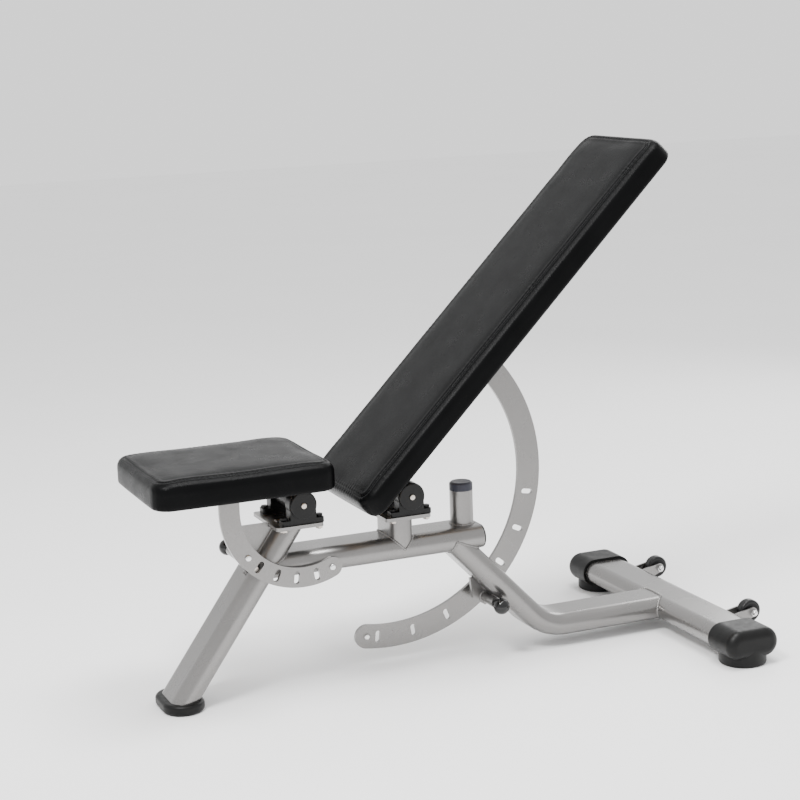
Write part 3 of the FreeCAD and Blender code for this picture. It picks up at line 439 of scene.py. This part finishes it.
def finish_surface(mesh, half_x, half_y, seam_z, seed):
    """Refine the cover beside the seam, then press in the seam and raise the puckers along it."""
    shape = bmesh.new()
    shape.from_mesh(mesh)

    def by_seam(vertex):
        inside, _ = edge_place(vertex.co.x, vertex.co.y, half_x, half_y)
        return vertex.co.z > seam_z and inside < SEAM_INSET + FINE_REACH

    edges = [edge for edge in shape.edges if by_seam(edge.verts[0]) and by_seam(edge.verts[1])]
    bmesh.ops.subdivide_edges(shape, edges=edges, cuts=1, use_grid_fill=True, smooth=0.5)
    shape.normal_update()
    shifts = []
    for vertex in shape.verts:
        inside, around = edge_place(vertex.co.x, vertex.co.y, half_x, half_y)
        up = max(0.0, vertex.normal.z)
        off = inside - SEAM_INSET
        groove = -SEAM_DEEP * math.exp(-(off / SEAM_WIDE) ** 2)
        ridge = RIDGE_HIGH * math.exp(-((abs(off) - RIDGE_AWAY) / RIDGE_WIDE) ** 2)
        place = Vector((around * PATCH, seed, 0))
        gather = max(0.0, 0.25 + smooth_noise.noise(place * 0.35))
        pucker = math.sin(around * 2 * math.pi / PUCKER_PITCH + 2.5 * smooth_noise.noise(place))
        reach = math.exp(-abs(off) / PUCKER_REACH) * min(1.0, abs(off) / PUCKER_START)
        crease = PUCKER_HIGH * gather * pucker * reach
        x, y, z = vertex.co
        drift = UNEVEN * smooth_noise.noise(Vector((x * 14, y * 14, seed + z * 9)))
        shifts.append(vertex.normal * (up * (groove + ridge + crease) + drift))
    for vertex, shift in zip(shape.verts, shifts):
        if vertex.co.z > seam_z - FAINT_FROM or shift.length < FAINT:
            vertex.co += shift * min(1.0, max(0.0, (vertex.co.z - seam_z + FADE_LOW) / FADE_OVER))
    shape.to_mesh(mesh)
    shape.free()


def seam_points(half_x, half_y, inset, step):
    """Even steps along a line that runs inside the cushion's outline."""
    outline = rounded_outline(half_x - inset, half_y - inset, CORNER - inset, 12)
    points = [Vector((x, y, 0)) for x, y in outline]
    lengths = [(points[(i + 1) % len(points)] - points[i]).length for i in range(len(points))]
    total = sum(lengths)
    places, walked, i = [], 0.0, 0
    count = int(total / step)
    for k in range(count):
        target = total * k / count
        while walked + lengths[i] < target:
            walked += lengths[i]
            i += 1
        share = (target - walked) / lengths[i] if lengths[i] else 0
        places.append(points[i].lerp(points[(i + 1) % len(points)], share))
    return places


def stitches(name, cover, half_x, half_y, top_z, seed):
    """Two rows of short raised stitches beside the seam, laid on the finished cover."""
    tree = BVHTree.FromPolygons([v.co for v in cover.vertices], [p.vertices for p in cover.polygons])
    random.seed(seed)
    shape = bmesh.new()
    pitch = STITCH_LONG + STITCH_GAP
    down = -Z_AXIS
    for row in STITCH_ROWS:
        places = seam_points(half_x, half_y, SEAM_INSET + row, pitch)
        for i, start in enumerate(places):
            along = (places[(i + 1) % len(places)] - start).normalized()
            path = []
            for share, sink in STITCH_ARCH:
                over = start + along * STITCH_LONG * share
                hit, normal, _, _ = tree.ray_cast(Vector((over.x, over.y, top_z + 50 * MM)), down)
                if hit is None:
                    break
                path.append(hit + normal * THREAD_RADIUS * (0.35 - 1.3 * sink * random.uniform(0.9, 1.1)))
            if len(path) == len(STITCH_ARCH):
                tube_rings(shape, path, [THREAD_RADIUS * size for size in (0.6, 1, 1, 1, 0.6)], sides=6)
    mesh = bpy.data.meshes.new(name)
    shape.to_mesh(mesh)
    shape.free()
    return mesh


def cushion(node, body, pivot, slope, seed):
    """Cushion in place of its plain solid and a little proud of it, with seam, puckers and stitches."""
    to_world, low, high = slab_frame(node, pivot, slope)
    middle = (low + high) / 2
    half_x, half_y = (high.x - low.x) / 2, (high.y - low.y) / 2
    mesh = slab_mesh(node + "_start", half_x - SIDE_ROOM, half_y - SIDE_ROOM, low.z, high.z - TOP_ROOM)
    start = bpy.data.objects.new(node + "_start", mesh)
    scene.collection.objects.link(start)
    remesh = start.modifiers.new("even", "REMESH")
    remesh.mode = "VOXEL"
    remesh.voxel_size = VOXEL
    even = applied(start)
    start.modifiers.clear()
    start.data = even
    swell(start, low.z)
    refine = start.modifiers.new("finer", "SUBSURF")
    refine.levels = refine.render_levels = 1
    cover = applied(start)
    cover.name = node + "_cover"
    bpy.data.objects.remove(start)
    fit_box(cover, (-half_x - END_PROUD, -half_y - SIDE_PROUD, low.z),
            (half_x + END_PROUD, half_y + SIDE_PROUD, high.z + TOP_PROUD))
    finish_surface(cover, half_x, half_y, high.z - SEAM_DROP, seed)
    thread = stitches(node + "_stitches", cover, half_x, half_y, high.z, seed)
    place = to_world @ Matrix.Translation((middle.x, 0, 0))
    cover.transform(place)
    thread.transform(place)
    piece = new_piece(node.replace("_pad", "_cushion"), cover, MATERIALS["vinyl_black"], body)
    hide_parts(node)
    new_piece(node.replace("_pad", "_stitching"), thread, THREAD, body)


cushion("seat_pad", "seat", pivot_of("seat_tilt"), 0, 3)
cushion("back_pad", "back", pivot_of("back_tilt"), BACK_SLOPE, 8)

# ---------------------------------------------------------------- weld beads
BEAD = 2.6 * MM
RIPPLE = 4.6 * MM       # length of one ripple along a bead
RIPPLE_DEEP, WANDER = 0.16, 0.22  # changes of the bead's radius, as shares of it
OVAL_POINTS, CIRCLE_POINTS = 96, 48
GUSSET_INNER = 14 * MM  # the gussets' faces nearest the middle of the bench
PLATE_ROOM = 4 * MM     # the seat gusset's bead stops this far under the hinge plate
# Ends of the gussets' beads: heights from the seat's pin, and lengths along the rear leg from the back's pin.
SEAT_BEAD_LOW, SEAT_SLEEVE_LOW, SEAT_SLEEVE_HIGH = -32 * MM, -25 * MM, -2 * MM
BACK_BEAD_ENDS = (-52 * MM, 12 * MM)


def middle_of(node):
    low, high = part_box(node)
    return (Vector(low) + Vector(high)) / 2


def half_of(node):
    low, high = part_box(node)
    return (Vector(high) - Vector(low)) / 2


beam_z = middle_of("main_beam").z
half_wide, half_thick = half_of("main_beam").y, half_of("main_beam").z
flat = half_wide - half_thick


def direction(slope):
    """Unit vector in the bench's upright plane, rising towards the wheels by slope degrees."""
    return Vector((math.cos(math.radians(slope)), 0, math.sin(math.radians(slope))))


def oval_section():
    """Points (across, through) round the flat oval tube."""
    points = []
    for k in range(OVAL_POINTS):
        turn = 2 * math.pi * k / OVAL_POINTS
        shift = math.copysign(flat, math.cos(turn)) if abs(math.cos(turn)) > 1e-9 else 0
        points.append((shift + half_thick * math.cos(turn), half_thick * math.sin(turn)))
    return points


def tube_depth(y):
    """Half the thickness of the flat oval tube at this distance from its middle."""
    over = max(0.0, abs(y) - flat)
    return math.sqrt(max(0.0, half_thick ** 2 - over ** 2))


def even_steps(points, step, closed):
    """The same line with points a fixed step apart."""
    if closed:
        points = points + [points[0]]
    places, left = [points[0]], step
    for start, stop in zip(points, points[1:]):
        length = (stop - start).length
        while left <= length:
            places.append(start.lerp(stop, left / length))
            left += step
        left -= length
    if closed and (places[-1] - places[0]).length < step / 2:
        places.pop()
    return places


def bead(name, lines, closed=True):
    """Rippled weld beads along one or more lines, painted like the frame."""
    shape = bmesh.new()
    for line in lines:
        path = even_steps(line, RIPPLE / 4, closed)
        radii = [BEAD * (1 + RIPPLE_DEEP * math.sin(2 * math.pi * i / 4)
                         + WANDER * smooth_noise.noise(place * 120)) for i, place in enumerate(path)]
        tube_rings(shape, path, radii, closed=closed)
    bmesh.ops.recalc_face_normals(shape, faces=shape.faces)
    mesh = bpy.data.meshes.new(name)
    shape.to_mesh(mesh)
    shape.free()
    new_piece(name, mesh, MATERIALS["frame_paint"], "frame")


def circle(centre, radius, one, two):
    """Points round a circle in the plane of the unit vectors one and two."""
    return [centre + radius * (math.cos(t) * one + math.sin(t) * two)
            for t in (2 * math.pi * k / CIRCLE_POINTS for k in range(CIRCLE_POINTS))]


post, stub_x = middle_of("post"), middle_of("back_hinge_stub").x
bead("weld_post", [circle(Vector((post.x, 0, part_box("post")[0][2])), half_of("post").x, X_AXIS, Y_AXIS)])
stub_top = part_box("back_hinge_stub")[1][2]
bead("weld_stub_foot", [[Vector((stub_x + n, y, beam_z + tube_depth(y))) for y, n in oval_section()]])
bead("weld_stub_head", [[Vector((stub_x + n, y, stub_top)) for y, n in oval_section()]])

leg_line, leg_sine = direction(FRONT_LEG_SLOPE), math.sin(math.radians(FRONT_LEG_SLOPE))
leg_low, leg_high = (Vector(corner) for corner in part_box("front_leg"))
leg_foot = Vector((leg_low.x + half_thick / leg_sine, 0, leg_low.z))
leg_out = Vector((-leg_line.z, 0, leg_line.x))  # square to the leg, up and to the seat end


def on_leg(height):
    """Point of the front leg's axis at this height."""
    return leg_foot + leg_line * ((height - leg_foot.z) / leg_line.z)


bead("weld_leg_head", [[on_leg(leg_high.z) + Vector((n / leg_sine, y, 0)) for y, n in oval_section()]])
beam_join = []
for y, n in oval_section():
    sunk = max(BEAD - half_wide, min(half_wide - BEAD, y))  # clear of the seat arc's stop bolts beside it
    beam_join.append(on_leg(beam_z + n) + Vector((tube_depth(y) / leg_sine, sunk, 0)))
bead("weld_beam_to_leg", [beam_join])

rear_line = direction(-REAR_LEG_SLOPE)
rear_out = Vector((-rear_line.z, 0, rear_line.x))  # square to the rear leg, up and to the wheels
rear_start = Vector((REAR_LEG_X, 0, beam_z))
rear_join = []
for y, n in oval_section():
    start = rear_start + n * rear_out + y * Y_AXIS
    down = (start.z - (beam_z - tube_depth(y))) / -rear_line.z
    rear_join.append(start + down * rear_line)
bead("weld_rear_leg_to_beam", [rear_join])

crossbar = middle_of("crossbar")
cross_join = [Vector((crossbar.x - flat - tube_depth(flat + abs(n)), y, crossbar.z + n))
              for y, n in oval_section()]
bead("weld_rear_leg_to_crossbar", [cross_join])

for group in ("seat", "back"):
    sleeve, radius = middle_of(group + "_pin_sleeve"), half_of(group + "_pin_sleeve").x
    side = -1 if group == "seat" else 1
    faces = [side * GUSSET_INNER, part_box("pin_gussets")[0 if side < 0 else 1][1]]
    bead("weld_%s_sleeve" % group,
         [circle(Vector((sleeve.x, y, sleeve.z)), radius, X_AXIS, Z_AXIS) for y in faces])
seat_sleeve, back_sleeve = middle_of("seat_pin_sleeve"), middle_of("back_pin_sleeve")
seat_faces = (-GUSSET_INNER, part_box("pin_gussets")[0][1])
under_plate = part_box("seat_hinge_plate")[0][2] - PLATE_ROOM
gusset_runs = ((SEAT_BEAD_LOW, SEAT_SLEEVE_LOW), (SEAT_SLEEVE_HIGH, under_plate - seat_sleeve.z))
bead("weld_seat_gusset", [
    [on_leg(seat_sleeve.z + rise) + leg_out * half_thick + y * Y_AXIS for rise in run]
    for y in seat_faces for run in gusset_runs], closed=False)
back_faces = (GUSSET_INNER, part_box("pin_gussets")[1][1])
bead("weld_back_gusset", [
    [rear_start + rear_line * ((beam_z - back_sleeve.z) / -rear_line.z + along) - rear_out * half_thick
     + y * Y_AXIS for along in BACK_BEAD_ENDS] for y in back_faces], closed=False)

# ---------------------------------------------------------------- camera, floor and lights
CAMERA_PLACE = (-1.4909, -3.3806, 1.2749)
CAMERA_TURN = (78.863, 1.9995, -23.0103)  # turns about X, Y and Z, in degrees
FLOOR_HALF = 14
camera = bpy.data.objects.new("camera", bpy.data.cameras.new("camera"))
scene.collection.objects.link(camera)
camera.matrix_world = (Matrix.Translation(CAMERA_PLACE)
                       @ Euler([math.radians(turn) for turn in CAMERA_TURN]).to_matrix().to_4x4())
camera.data.sensor_width = 36
camera.data.lens = 84.6
camera.data.clip_end = 60
scene.camera = camera

mesh = bpy.data.meshes.new("floor")
grid = bmesh.new()
bmesh.ops.create_grid(grid, x_segments=8, y_segments=8, size=FLOOR_HALF)
grid.to_mesh(mesh)
grid.free()
floor = bpy.data.objects.new("floor", mesh)
scene.collection.objects.link(floor)
floor_material, floor_tree, floor_bsdf = new_material("floor_white")
shade = noise(floor_tree, coords(floor_tree), 1.5, 3)
floor_tree.links.new(ramp(floor_tree, shade, [(0.2, 0.93), (0.8, 0.96)]), floor_bsdf.inputs["Base Color"])
floor_bsdf.inputs["Roughness"].default_value = 0.7
mesh.materials.append(floor_material)

world = bpy.data.worlds.new("studio")
scene.world = world
world.use_nodes = True
background = world.node_tree.nodes["Background"]
background.inputs["Color"].default_value = (1.0, 1.0, 1.0, 1)
background.inputs["Strength"].default_value = 1.35


def softbox(name, place, target, width, height, power):
    """Rectangular light at place that faces target."""
    light = bpy.data.objects.new(name, bpy.data.lights.new(name, "AREA"))
    light.data.shape = "RECTANGLE"
    light.data.size, light.data.size_y, light.data.energy = width, height, power
    light.location = place
    light.rotation_euler = (Vector(target) - Vector(place)).to_track_quat("-Z", "Y").to_euler()
    scene.collection.objects.link(light)


softbox("key", (-1.8, -1.3, 3.2), target=(0.1, 0, 0.6), width=1.0, height=0.8, power=130)
softbox("top", (0.2, -0.4, 3.2), target=(0, 0, 0.2), width=1.6, height=1.0, power=90)
softbox("rim", (2.4, 1.8, 1.8), target=(0.2, 0, 0.4), width=1.2, height=1.6, power=30)
